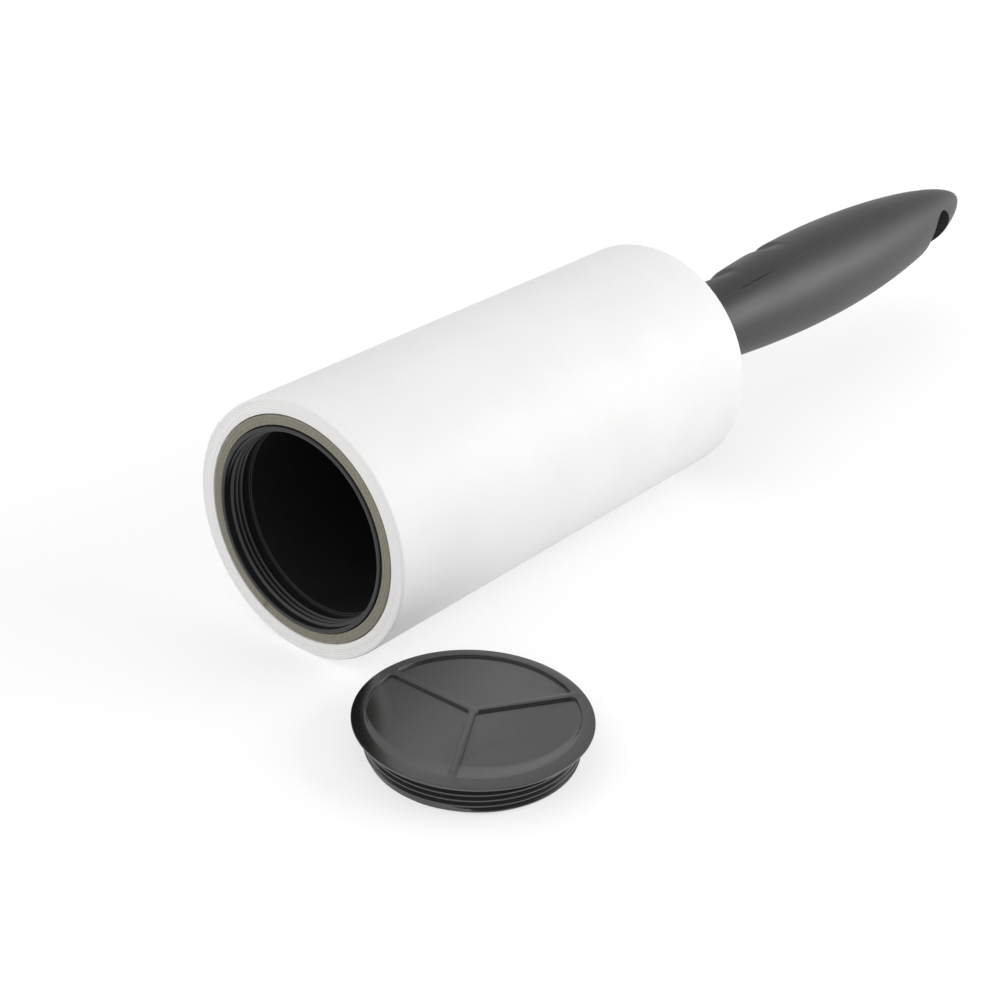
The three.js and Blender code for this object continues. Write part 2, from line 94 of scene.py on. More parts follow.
# Paper roll: its sheets are wound in bundles, which stand out by small shifts at the ends
ROLL_RADIUS = AXIS_Z + 0.3 * MM
SHEET_EDGE = 0.2 * MM
SHEET_EDGE_ANGLE = math.radians(35)
STACK_INNER = CORE_RADIUS + 0.1 * MM
STACK_EDGE = 0.45 * MM
STACK_EDGE_STEPS = 6
BUNDLE = 0.42 * MM
BUNDLE_SHIFT = 0.02 * MM
BUNDLE_WAVE = 0.4 * BUNDLE_SHIFT
BUNDLE_FLAT_SHARE = 0.76
BUNDLE_GROOVE_SHARE = 0.88
BUNDLE_GROOVE = 0.03 * MM
WINDING_SEED = 7

# Line between the innermost sheet and the core: its width at the face, its width and depth at
# its foot, and the depth at which it closes
CORE_LINE = 0.14 * MM
CORE_LINE_FOOT = 0.03 * MM
CORE_LINE_DEPTH = 0.25 * MM
CORE_LINE_CLOSED = 0.8 * MM

# Faces of the roll that show cut edges: how near its ends, and how much they must face along it
CUT_FACE_DEPTH = 0.9 * MM
CUT_FACE_SLOPE = 0.3

# Card core
CORE_BORE = 19.05 * MM
CORE_PLIES = 3
PLY_GROOVE = 0.05 * MM
CARD_SEAM_PITCH = 62 * MM

# Drum
DRUM_RADIUS = 18.5 * MM
DRUM_BORE = 17.5 * MM
DRUM_RIBS = 6
DRUM_RIB_RADIUS = 18.85 * MM
DRUM_RIB_HALF = 1.0 * MM
DRUM_RIB_FOOT = 0.1 * MM
DRUM_RIB_TOP_SHARE = 0.8
DRUM_RIB_LEAD = 2 * MM
DRUM_RIB_LEAD_RISE = 0.2
DRUM_RIB_END_GAP = 0.02 * MM
MOUTH_BORE = 18.05 * MM
MOUTH_DEPTH = 6.1 * MM
MOUTH_COLLAR = 8.0 * MM
COLLAR_SLOPE = 0.35 * MM
FLANGE_GAP = 0.3 * MM
FLANGE_THICKNESS = 1.6 * MM
WEB_THICKNESS = 3.6 * MM
FLOOR_LEDGE = 0.6 * MM
FLOOR_PLAY = 0.3 * MM
BOSS_RADIUS = 9.0 * MM
HUB_RADIUS = 7.5 * MM
HUB_BORE = 5.1 * MM
HUB_LENGTH = 16.0 * MM

# Threads of mouth and cap: the ridge's section as places in pitches and heights in shares
THREAD_PITCH = 1.03 * MM
THREAD_SECTION = [(-0.46, 0.0), (-0.3, 0.42), (-0.12, 1.0), (0.12, 1.0), (0.3, 0.42), (0.46, 0.0)]
THREAD_FADE_TURNS = 0.12
THREAD_SINK = 0.05 * MM
MOUTH_THREAD_START = 1.0 * MM
MOUTH_THREAD_TURNS = 3.4
MOUTH_THREAD_CREST = 17.6 * MM
CAP_THREAD_START = 0.5 * MM
CAP_THREAD_TURNS = 4.4
CAP_THREAD_CREST = 17.85 * MM
CAP_THREAD_BEGIN = math.radians(190)

# Cap
CAP_SKIRT_LENGTH = 5.85 * MM
CAP_SKIRT_ROOT = 17.3 * MM
CAP_SKIRT_BORE = 16.05 * MM
CAP_PLATE_UNDERSIDE = 4.3 * MM
CAP_PLATE_MIDDLE = 0.3 * MM
CAP_TOP_RADIUS = CAP_RADIUS - 0.75 * MM
CAP_EDGE_TAPER = 0.05 * MM
CAP_BEVEL_HEIGHT = 0.35 * MM
CAP_BEVEL_WIDTH = 0.25 * MM
CAP_RIM_INNER = 17.8 * MM
CAP_RIB_HALF = 0.525 * MM
CAP_RIB_ANGLES = [math.radians(92), math.radians(210), math.radians(327)]

# The cap's recess: its middle from the cap's own, where the ribs meet from the recess's middle,
# and the direction, away from the viewpoint, in which the rim's inner wall stands upright
CAP_RECESS = Vector((0.45, 0.35)) * MM
CAP_RIBS_MEET = Vector((1.05, 0.95)) * MM
CAP_BACK = math.radians(38)

# Wall round each of the cap's panels from the top down, in mm: how far it stands in from ribs
# and rim, how far more it does so at the rim's front, where it slopes, and how deep it is
CAP_PANEL_WALL = [
    (0.0, 0.0, 0.0),
    (0.03, 0.15, 0.01),
    (0.055, 0.5, 0.04),
    (0.07, 1.0, 0.1),
    (0.075, 1.6, 0.2),
    (0.08, 2.3, 0.32),
    (0.09, 3.0, 0.42),
    (0.11, 3.5, 0.47),
    (0.17, 4.0, 0.49),
    (0.3, 4.5, 0.5),
]
CAP_PANEL_DEPTH = 0.5 * MM
CAP_PANEL_DISH = 0.1 * MM
CAP_PANEL_RINGS = (0.9, 0.75, 0.55, 0.3, 0.06)
CAP_PANEL_CORNER = 0.6 * MM
CAP_PANEL_RIM_STEPS = 48
CAP_PANEL_SIDE_STEPS = 14
CAP_PANEL_CORNER_STEPS = 5

# Handle
GRIP_TURN = math.radians(25)
NECK_RADIUS = 8.0 * MM
NECK_LENGTH = 16.0 * MM
GRIP_THICKNESS = 22.0 * MM
GRIP_WIDTH = 21.0 * MM
GRIP_NOSE = 65.0 * MM
NOSE_POWER_THICK = 1.75
NOSE_POWER_WIDE = 2.35
GRIP_PEAK_X = TIP_X - GRIP_NOSE
NECK_END_X = NECK_X + NECK_LENGTH

# Parting line between the handle's halves, which opens into a groove for a stretch by the neck;
# at the tip its half gap stays under a share of the section's half thickness
PARTING_GAP = 0.03 * MM
PARTING_GAP_SHARE = 0.5

# Easing of the edges along the parting line: its depth, its width as a multiple of the depth and
# a length more, and the section's half width from which on it is full
PARTING_EASE = 0.03 * MM
PARTING_EASE_WIDTHS = 1.2
PARTING_EASE_MORE = 0.05 * MM
PARTING_EASE_FULL_FROM = 2 * MM

# Groove into which the parting line opens
PARTING_GROOVE = 0.15 * MM
PARTING_GROOVE_FROM = NECK_X + 22.6 * MM
PARTING_GROOVE_TO = NECK_X + 37.0 * MM
PARTING_GROOVE_OPENS = 2 * MM
PARTING_GROOVE_CLOSES = 4 * MM

# Finger grooves on the handle's back: places from the neck, lengths before and behind the
# deepest place, and the part of the way from the parting line to the back where each fades in
GROOVE_DEPTH = 1.4 * MM
GROOVE_PLACES = [28.5 * MM, 47.1 * MM]
GROOVE_LEAD = 6.0 * MM
GROOVE_STEEP = 2.0 * MM
GROOVE_FADE = (0.3, 0.9)

# Hanging hole through the handle, near its tip: the lip at each mouth, and in lips how deep it
# starts, how far it runs outwards, and how far the cutter flares beyond it
HANG_HOLE_RADIUS = 6.6 * MM
HANG_HOLE_X = TIP_X - 18.9 * MM
HANG_HOLE_LIP = 0.3 * MM
HANG_HOLE_LIP_DEPTH = 1.6
HANG_HOLE_LIP_RUN = 2.2
HANG_HOLE_FLARE = 1.6
HANG_HOLE_LIP_STEPS = 8

# Facets of round surfaces
ROUND_STEPS = 192
SMALL_STEPS = 96
ROUNDING_STEPS = 4
ROUNDING_LARGEST_SHARE = 0.45

# Sections of the handle: how close they stand, how far the close ones reach before and behind a
# finger groove, and the angles that place them along the nose
STATION_NEAR = 0.5 * MM
STATION_FAR = 1.5 * MM
STATION_NEAR_BEFORE = 8 * MM
STATION_NEAR_BEHIND = 3.5 * MM
NOSE_DEGREES = list(range(0, 90, 2)) + [89.2]

# Points of a quarter of the handle's section: angles by the parting line, then even steps
GRIP_ANGLES_BY_PARTING = [0.0, 0.004, 0.009, 0.016, 0.026, 0.042, 0.07, 0.12]
GRIP_EVEN_STEPS = 22

# Distances under which points are one, and edges are nothing
WELD = 1e-7
NO_LENGTH = 1e-8


def linked(name, data):
    """New object with the data, in the scene"""
    obj = bpy.data.objects.new(name, data)
    bpy.context.scene.collection.objects.link(obj)
    return obj


def camera():
    data = bpy.data.cameras.new("camera")
    data.lens = CAMERA_LENS
    data.sensor_width = 36.0
    data.clip_start = 0.01
    data.clip_end = 200.0
    forward = Vector(CAMERA_FORWARD).normalized()
    level = forward.cross(Vector((0, 0, 1))).normalized()
    upright = level.cross(forward)
    right = level * math.cos(CAMERA_ROLL) + upright * math.sin(CAMERA_ROLL)
    up = right.cross(forward)
    turn = Matrix((right, up, -forward)).transposed().to_4x4()
    obj = linked("camera", data)
    obj.matrix_world = Matrix.Translation(CAMERA_PLACE) @ turn
    bpy.context.scene.camera = obj


def softbox():
    data = bpy.data.lights.new("side_softbox", "AREA")
    data.shape = "RECTANGLE"
    data.size = SOFTBOX_WIDTH
    data.size_y = SOFTBOX_HEIGHT
    data.energy = SOFTBOX_POWER
    obj = linked("side_softbox", data)
    toward = Vector(SOFTBOX_TARGET) - Vector(SOFTBOX_PLACE)
    obj.rotation_euler = toward.to_track_quat("-Z", "Y").to_euler()
    obj.location = SOFTBOX_PLACE


# Node helpers
def add(tree, kind, **settings):
    """Node with inputs set by the settings that start with in_, and properties by the others"""
    node = tree.nodes.new(kind)
    for name, value in settings.items():
        if name.startswith("in_"):
            node.inputs[name[3:].replace("_", " ")].default_value = value
        else:
            setattr(node, name, value)
    return node


def maths(tree, operation, first, second=None):
    """Outcome of a sum on one or two values, each a number or a socket"""
    node = add(tree, "ShaderNodeMath", operation=operation)
    for place, value in enumerate((first, second)):
        if value is None:
            continue
        if isinstance(value, (int, float)):
            node.inputs[place].default_value = value
        else:
            tree.links.new(value, node.inputs[place])
    return node.outputs[0]


def colour4(value):
    """Colour with its alpha, from a grey's number or from three parts"""
    if isinstance(value, (int, float)):
        return (value, value, value, 1)
    return (value[0], value[1], value[2], 1)


def seen_rays(tree):
    """1 for camera, glossy and transmission rays, else 0"""
    path = add(tree, "ShaderNodeLightPath").outputs
    either = maths(tree, "MAXIMUM", path["Is Camera Ray"], path["Is Glossy Ray"])
    return maths(tree, "MAXIMUM", either, path["Is Transmission Ray"])


def surroundings():
    scene = bpy.context.scene
    scene.view_settings.view_transform = "Standard"
    world = bpy.data.worlds.new("studio")
    scene.world = world
    world.use_nodes = True
    tree = world.node_tree
    tree.nodes.clear()
    direction = add(tree, "ShaderNodeTexCoord").outputs["Generated"]
    away = add(tree, "ShaderNodeVectorMath", operation="SCALE")
    away.inputs["Scale"].default_value = -1.0
    tree.links.new(direction, away.inputs[0])
    strength = SKY_EVEN
    for side, glow in ((direction, SKY_POSITIVE), (away.outputs[0], SKY_NEGATIVE)):
        clamped = add(tree, "ShaderNodeVectorMath", operation="MAXIMUM")
        share = add(tree, "ShaderNodeVectorMath", operation="DOT_PRODUCT")
        clamped.inputs[1].default_value = (0, 0, 0)
        share.inputs[1].default_value = glow
        tree.links.new(side, clamped.inputs[0])
        tree.links.new(clamped.outputs[0], share.inputs[0])
        strength = maths(tree, "ADD", share.outputs["Value"], strength)
    sky = add(tree, "ShaderNodeBackground", in_Color=(1, 1, 1, 1))
    out = add(tree, "ShaderNodeOutputWorld")
    tree.links.new(strength, sky.inputs["Strength"])
    tree.links.new(sky.outputs[0], out.inputs[0])


def seen_glow(name, strength, share, plain_kind, **settings):
    """Material with a plain shader, which seen rays meet mixed with a share of white glow"""
    material = bpy.data.materials.new(name)
    material.use_nodes = True
    tree = material.node_tree
    tree.nodes.clear()
    plain = add(tree, plain_kind, **settings)
    glow = add(tree, "ShaderNodeEmission", in_Color=(1, 1, 1, 1), in_Strength=strength)
    choose = add(tree, "ShaderNodeMixShader")
    out = add(tree, "ShaderNodeOutputMaterial")
    tree.links.new(maths(tree, "MULTIPLY", seen_rays(tree), share), choose.inputs[0])
    tree.links.new(plain.outputs[0], choose.inputs[1])
    tree.links.new(glow.outputs[0], choose.inputs[2])
    tree.links.new(choose.outputs[0], out.inputs[0])
    return material


def stage_mesh(name, points, faces, material):
    """Mesh that belongs to the set and not to the object"""
    mesh = bpy.data.meshes.new(name)
    mesh.from_pydata(points, [], faces)
    mesh.materials.append(material)
    obj = linked(name, mesh)


# Pale floor that keeps the soft shadow and reads as white where nothing shades it
def floor():
    half = FLOOR_HALF
    corners = [(-half, -half, 0), (half, -half, 0), (half, half, 0), (-half, half, 0)]
    material = seen_glow("pale_floor", FLOOR_GLOW, FLOOR_GLOW_SHARE,
                         "ShaderNodeBsdfDiffuse", in_Color=colour4(FLOOR_TONE))
    stage_mesh("floor", corners, [(0, 1, 2, 3)], material)


# White backdrop round the floor, which seen rays meet and the light of the surroundings passes
def backdrop():
    around = [Vector((math.cos(a), math.sin(a), 0)) * BACKDROP_RADIUS for a in steps(BACKDROP_STEPS)]
    top = Vector((0, 0, BACKDROP_HEIGHT))
    faces = []
    for k in range(BACKDROP_STEPS):
        after = (k + 1) % BACKDROP_STEPS
        faces.append((k, after, after + BACKDROP_STEPS, k + BACKDROP_STEPS))
    material = seen_glow("white_backdrop", 1.0, 1.0, "ShaderNodeBsdfTransparent")
    stage_mesh("backdrop", around + [point + top for point in around], faces, material)


# Material helpers
def surface(name, roughness, metallic=0.0, specular=0.5):
    """New material with its node tree, shader and object coordinates"""
    material = bpy.data.materials.new(name)
    material.use_nodes = True
    tree = material.node_tree
    shader = tree.nodes["Principled BSDF"]
    shader.inputs["Roughness"].default_value = roughness
    shader.inputs["Metallic"].default_value = metallic
    shader.inputs["Specular IOR Level"].default_value = specular
    coordinates = add(tree, "ShaderNodeTexCoord")
    return material, tree, shader, coordinates.outputs["Object"]


def noise(tree, where, size, detail=2.0, stretch=(1, 1, 1)):
    """Noise with features of the given size in metres"""
    scale = add(tree, "ShaderNodeMapping", in_Scale=tuple(s / size for s in stretch))
    texture = add(tree, "ShaderNodeTexNoise", in_Scale=1.0, in_Detail=detail)
    tree.links.new(where, scale.inputs[0])
    tree.links.new(scale.outputs[0], texture.inputs["Vector"])
    return texture.outputs["Fac"]


def between(tree, share, low, high, start=0.3, end=0.7):
    """Colour or number that goes from low to high as share goes from start to end"""
    ramp = add(tree, "ShaderNodeValToRGB")
    ramp.color_ramp.elements[0].position = start
    ramp.color_ramp.elements[1].position = end
    ramp.color_ramp.elements[0].color = colour4(low)
    ramp.color_ramp.elements[1].color = colour4(high)
    tree.links.new(share, ramp.inputs[0])
    return ramp.outputs[0]


def bump(tree, shader, height, depth, strength=1.0):
    node = add(tree, "ShaderNodeBump", in_Strength=strength, in_Distance=depth)
    tree.links.new(height, node.inputs["Height"])
    tree.links.new(node.outputs[0], shader.inputs["Normal"])


def around_axis(tree, where):
    """Place along the roller's axis, turns about it, and the distance from it"""
    parts = add(tree, "ShaderNodeSeparateXYZ")
    tree.links.new(where, parts.inputs[0])
    up = maths(tree, "SUBTRACT", parts.outputs["Z"], AXIS_Z)
    angle = maths(tree, "ARCTAN2", up, parts.outputs["Y"])
    turn = maths(tree, "DIVIDE", angle, 2 * math.pi)
    squares = maths(tree, "ADD", maths(tree, "MULTIPLY", up, up),
                    maths(tree, "MULTIPLY", parts.outputs["Y"], parts.outputs["Y"]))
    return parts.outputs["X"], turn, maths(tree, "SQRT", squares)


# Moulded plastic: spark-eroded grain, a slow change of tone, and a little wear of gloss
def plastic(name, colour, roughness, specular=0.5, ior=1.5):
    material, tree, shader, where = surface(name, roughness, specular=specular)
    shader.inputs["IOR"].default_value = ior
    cloud = noise(tree, where, size=9 * MM, detail=3.0)
    darker = tuple(0.9 * c for c in colour)
    lighter = tuple(1.1 * c for c in colour)
    tree.links.new(between(tree, cloud, darker, lighter), shader.inputs["Base Color"])
    smear = noise(tree, where, size=4 * MM, detail=4.0, stretch=(0.3, 1, 1))
    gloss = between(tree, smear, low=roughness - 0.02, high=roughness + 0.03)
    tree.links.new(gloss, shader.inputs["Roughness"])
    grain = noise(tree, where, size=0.16 * MM, detail=3.0)
    bump(tree, shader, grain, depth=0.004 * MM)
    return material


# Smooth sheet with the faint fibres of paper
def sheet_side():
    material, tree, shader, where = surface("sheet_side", 0.5, specular=0.4)
    cloud = noise(tree, where, size=14 * MM)
    tone = between(tree, cloud, low=(0.83, 0.83, 0.825), high=(0.86, 0.86, 0.855))
    tree.links.new(tone, shader.inputs["Base Color"])
    fibre = noise(tree, where, size=0.7 * MM, detail=4.0, stretch=(0.35, 1, 1))
    tree.links.new(between(tree, fibre, low=0.44, high=0.56), shader.inputs["Roughness"])
    bump(tree, shader, fibre, depth=0.004 * MM)
    return material


# Cut edges of the wound sheets, with the spiral of the winding
def sheet_ends():
    material, tree, shader, where = surface("sheet_ends", 0.75, specular=0.3)
    _, turn, radius = around_axis(tree, where)
    spiral = maths(tree, "SUBTRACT", maths(tree, "DIVIDE", radius, BUNDLE), turn)
    wobble = noise(tree, where, size=3 * MM)
    spiral = maths(tree, "ADD", spiral, maths(tree, "MULTIPLY", wobble, 0.5))
    line = maths(tree, "PINGPONG", spiral, 0.5)
    tone = between(tree, line, low=(0.76, 0.755, 0.75), high=(0.84, 0.835, 0.83), start=0.0, end=0.25)
    tree.links.new(tone, shader.inputs["Base Color"])
    bump(tree, shader, line, depth=0.01 * MM, strength=0.6)
    return material


# Spiral-wound grey card, with fibres and the seam of its outer ply
def card():
    material, tree, shader, where = surface("grey_card", 0.85, specular=0.25)
    speck = noise(tree, where, size=0.35 * MM, detail=5.0)
    tone = between(tree, speck, low=(0.19, 0.18, 0.145), high=(0.29, 0.275, 0.22), start=0.25, end=0.75)
    along, turn, _ = around_axis(tree, where)
    pitches = maths(tree, "DIVIDE", along, CARD_SEAM_PITCH)
    seam = maths(tree, "PINGPONG", maths(tree, "ADD", pitches, turn), 0.5)
    dark = between(tree, seam, low=0.62, high=1.0, start=0.0, end=0.006)
    shade = add(tree, "ShaderNodeMix", data_type="RGBA", blend_type="MULTIPLY")
    shade.inputs[0].default_value = 1.0
    tree.links.new(tone, shade.inputs[6])
    tree.links.new(dark, shade.inputs[7])
    tree.links.new(shade.outputs[2], shader.inputs["Base Color"])
    bump(tree, shader, speck, depth=0.02 * MM)
    return material


# Turned, plated steel, with fine lines round the axis
def steel():
    material, tree, shader, where = surface("turned_steel", 0.32, metallic=1.0)
    lines = noise(tree, where, size=0.12 * MM, stretch=(1, 0.08, 0.08))
    tone = between(tree, lines, low=(0.42, 0.43, 0.44), high=(0.56, 0.57, 0.58))
    tree.links.new(tone, shader.inputs["Base Color"])
    bump(tree, shader, lines, depth=0.003 * MM)
    return material


# Mesh helpers
def build(name, grow):
    """Object from what grow adds to an empty bmesh, welded and with its faces turned out"""
    work = bmesh.new()
    grow(work)
    bmesh.ops.remove_doubles(work, verts=work.verts, dist=WELD)
    bmesh.ops.dissolve_degenerate(work, edges=work.edges, dist=NO_LENGTH)
    work.normal_update()
    bmesh.ops.recalc_face_normals(work, faces=work.faces)
    work.normal_update()
    if work.calc_volume(signed=True) < 0:
        bmesh.ops.reverse_faces(work, faces=work.faces)
    mesh = bpy.data.meshes.new(name)
    work.to_mesh(mesh)
    work.free()
    return linked(name, mesh)


def skin(work, loops, wrap=False, caps=False):
    """Quads between loops of equally many points; returns the loops' vertices"""
    rows = [[work.verts.new(place) for place in loop] for loop in loops]
    pairs = list(zip(rows, rows[1:]))
    if wrap:
        pairs.append((rows[-1], rows[0]))
    for first, second in pairs:
        for k in range(len(first)):
            step = (k + 1) % len(first)
            work.faces.new((first[k], first[step], second[step], second[k]))
    if caps:
        work.faces.new(rows[0])
        work.faces.new(rows[-1])
    return rows


def ring_edges(work, ring):
    return [work.edges.get((ring[k - 1], ring[k])) for k in range(len(ring))]


def steps(count):
    """Angles of even steps once round"""
    return [2 * math.pi * k / count for k in range(count)]


def on_roller(along, radius, angle):
    return (along, radius * math.cos(angle), AXIS_Z + radius * math.sin(angle))


def on_cap(height, radius, angle):
    x = CAP_CENTRE.x + radius * math.cos(angle)
    y = CAP_CENTRE.y + radius * math.sin(angle)
    return (x, y, cap_low.z + height)


def rounded(corners):
    """Outline whose corners (along, radius, rounding) are drawn as small arcs"""
    outline = []
    for k, (along, radius, rounding) in enumerate(corners):
        here = Vector((along, radius))
        before = Vector(corners[k - 1][:2]) - here
        after = Vector(corners[(k + 1) % len(corners)][:2]) - here
        if rounding == 0:
            outline.append(tuple(here))
            continue
        largest = ROUNDING_LARGEST_SHARE
        cut = min(rounding, largest * before.length, largest * after.length)
        start = here + before.normalized() * cut
        end = here + after.normalized() * cut
        for j in range(ROUNDING_STEPS + 1):
            share = j / ROUNDING_STEPS
            point = start * (1 - share) ** 2 + here * 2 * share * (1 - share) + end * share ** 2
            outline.append(tuple(point))
    return outline


def smooth(obj, angle=32):
    """Smooth shading, apart from edges sharper than the angle in degrees"""
    obj.data.shade_smooth()
    obj.data.set_sharp_from_angle(angle=math.radians(angle))
    return obj


def dress(obj, body, slot, material, *nodes):
    """Gives a piece its material and body, and hides the CAD nodes that it stands for"""
    if not obj.data.materials:
        obj.data.materials.append(material)
    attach(obj, body)
    if nodes:
        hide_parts(*nodes)
    return obj


def turned(name, corners, place):
    """Closed ring turned about an axis"""
    outline = rounded(corners)

    def grow(work):
        loops = []
        for along, radius in outline:
            loops.append([place(along, radius, angle) for angle in steps(ROUND_STEPS)])
        skin(work, loops, wrap=True)

    return smooth(build(name, grow))


def helix(name, place, start, turns, root, crest, sink, begin=0.0):
    """Screw thread's ridge between two radii, which fades in and out at its ends"""
    total = round(turns * SMALL_STEPS)

    def grow(work):
        loops = []
        for k in range(total + 1):
            angle = begin + 2 * math.pi * k / SMALL_STEPS
            run = min(k, total - k) / SMALL_STEPS
            fade = min(run / THREAD_FADE_TURNS, 1.0)
            height = fade * fade * (3 - 2 * fade)
            middle = start + THREAD_PITCH * k / SMALL_STEPS
            loop = []
            for along, rise in THREAD_SECTION:
                radius = root + (crest - root) * rise * height
                if rise == 0.0:
                    radius += sink
                loop.append(place(middle + along * THREAD_PITCH, radius, angle))
            loops.append(loop)
        skin(work, loops, caps=True)

    return smooth(build(name, grow), 50)


# Wound stack of sheets: its ends show the bundles of the winding, its side the edge of the
# outer sheet, and its underside is pressed flat
def paper_roll():
    draw = random.Random(WINDING_SEED)
    bundles = int((ROLL_RADIUS - SHEET_EDGE - STACK_INNER) / BUNDLE)
    shifts = [[draw.uniform(-1, 1) * BUNDLE_SHIFT for _ in range(bundles)] for _ in range(2)]
    phases = [draw.uniform(0, 2 * math.pi) for _ in range(bundles)]

    def end_profile(side, angle, outer):
        places = [
            (ROLL_END - CORE_LINE_CLOSED, STACK_INNER),
            (ROLL_END - CORE_LINE_DEPTH, STACK_INNER + CORE_LINE_FOOT),
        ]
        for k in range(bundles):
            radius = STACK_INNER + k * BUNDLE
            wave = BUNDLE_WAVE * math.sin(2 * angle + phases[k])
            face = ROLL_END - 2 * BUNDLE_SHIFT + shifts[side][k] + wave
            places.append((face, radius + (CORE_LINE if k == 0 else 0)))
            places.append((face, radius + BUNDLE_FLAT_SHARE * BUNDLE))
            places.append((face - BUNDLE_GROOVE, radius + BUNDLE_GROOVE_SHARE * BUNDLE))
        edge = ROLL_END - BUNDLE_SHIFT
        places.append((edge, STACK_INNER + bundles * BUNDLE))
        for step in range(STACK_EDGE_STEPS + 1):
            bend = math.radians(90 * step / STACK_EDGE_STEPS)
            along = edge - STACK_EDGE * (1 - math.cos(bend))
            places.append((along, outer - STACK_EDGE * (1 - math.sin(bend))))
        return places

    def grow(work):
        loops = []
        count = 2 * ROUND_STEPS
        for k in range(count + 1):
            share = k / count
            angle = SHEET_EDGE_ANGLE + 2 * math.pi * share
            outer = ROLL_RADIUS - SHEET_EDGE * (1 - share)
            mouth = [(-along, radius) for along, radius in end_profile(0, angle, outer)]
            back = end_profile(1, angle, outer)
            loop = []
            for along, radius in mouth + back[::-1]:
                x, y, z = on_roller(along, radius, angle)
                loop.append((x, y, max(z, 0.0)))
            loops.append(loop)
        skin(work, loops, wrap=True)

    obj = build("sheet_roll", grow)
    obj.data.materials.append(sheet_side())
    obj.data.materials.append(sheet_ends())
    for face in obj.data.polygons:
        if abs(face.center.x) > ROLL_END - CUT_FACE_DEPTH and abs(face.normal.x) > CUT_FACE_SLOPE:
            face.material_index = 1
    smooth(obj, 40)
    dress(obj, "refill_body", "sheet_paper", None, "paper_roll")


# Card tube whose ends show its plies
def card_core():
    ply = (CORE_RADIUS - CORE_BORE) / CORE_PLIES

    def end(side):
        corners = [(side * ROLL_END, CORE_BORE, 0.12 * MM)]
        for k in range(1, CORE_PLIES):
            radius = CORE_BORE + k * ply
            corners.append((side * ROLL_END, radius - PLY_GROOVE, 0))
            corners.append((side * (ROLL_END - PLY_GROOVE), radius, 0))
            corners.append((side * ROLL_END, radius + PLY_GROOVE, 0))
        corners.append((side * ROLL_END, CORE_RADIUS, 0.3 * MM))
        return corners

    obj = turned("card_core", end(-1) + end(1)[::-1], on_roller)
    dress(obj, "refill_body", "core_card", card(), "cardboard_core")


# Container with its ribs, rear flange and hub
def drum_shell(material):
    collar_x = MOUTH_X + MOUTH_COLLAR
    flange_x = ROLL_END + FLANGE_GAP
    back_x = flange_x + FLANGE_THICKNESS
    web_x = back_x - WEB_THICKNESS
    hub_x = drum_high.x - HUB_LENGTH
    ledge_x = floor_high.x + FLOOR_PLAY
    corners = [
        (MOUTH_X, MOUTH_BORE, 0.25 * MM),
        (MOUTH_X, DRUM_RIB_RADIUS, 0.25 * MM),
        (collar_x, DRUM_RIB_RADIUS, 0.1 * MM),
        (collar_x + COLLAR_SLOPE, DRUM_RADIUS, 0.1 * MM),
        (flange_x, DRUM_RADIUS, 0.2 * MM),
        (flange_x, FLANGE_RADIUS, 0.25 * MM),
        (back_x, FLANGE_RADIUS, 0.35 * MM),
        (back_x, BOSS_RADIUS, 0.3 * MM),
        (drum_high.x, BOSS_RADIUS, 0.25 * MM),
        (drum_high.x, HUB_BORE, 0.15 * MM),
        (hub_x, HUB_BORE, 0.15 * MM),
        (hub_x, HUB_RADIUS, 0.3 * MM),
        (web_x, HUB_RADIUS, 0.4 * MM),
        (web_x, DRUM_BORE - FLOOR_LEDGE, 0.4 * MM),
        (ledge_x, DRUM_BORE - FLOOR_LEDGE, 0.1 * MM),
        (ledge_x, DRUM_BORE, 0.1 * MM),
        (MOUTH_X + MOUTH_DEPTH, DRUM_BORE, 0.15 * MM),
        (MOUTH_X + MOUTH_DEPTH, MOUTH_BORE, 0.15 * MM),
    ]
    obj = turned("drum_shell", corners, on_roller)
    dress(obj, "drum_body", "drum_black", material, "drum")

    for k, angle in enumerate(steps(DRUM_RIBS)):
        rib = grip_rib(f"drum_rib_{k + 1}", angle, collar_x, flange_x)
        dress(rib, "drum_body", "drum_black", material)

    thread = helix("mouth_thread", on_roller, MOUTH_X + MOUTH_THREAD_START, MOUTH_THREAD_TURNS,
                   MOUTH_BORE, MOUTH_THREAD_CREST, THREAD_SINK)
    dress(thread, "drum_body", "drum_black", material)


# Low rib along the drum that grips the core, with a tapered lead at the mouth end
def grip_rib(name, angle, from_x, to_x):
    foot = DRUM_RADIUS - DRUM_RIB_FOOT
    half = DRUM_RIB_HALF
    top = DRUM_RIB_TOP_SHARE * half
    section = [(-half, foot), (-top, DRUM_RIB_RADIUS), (top, DRUM_RIB_RADIUS), (half, foot)]
    places = [(from_x, DRUM_RIB_LEAD_RISE), (from_x + DRUM_RIB_LEAD, 1.0), (to_x - DRUM_RIB_END_GAP, 1.0)]

    def grow(work):
        loops = []
        for x, rise in places:
            loop = []
            for side, radius in section:
                height = foot + (radius - foot) * rise
                loop.append(on_roller(x, height, angle + side / DRUM_RADIUS))
            loops.append(loop)
        skin(work, loops, caps=True)

    return smooth(build(name, grow))


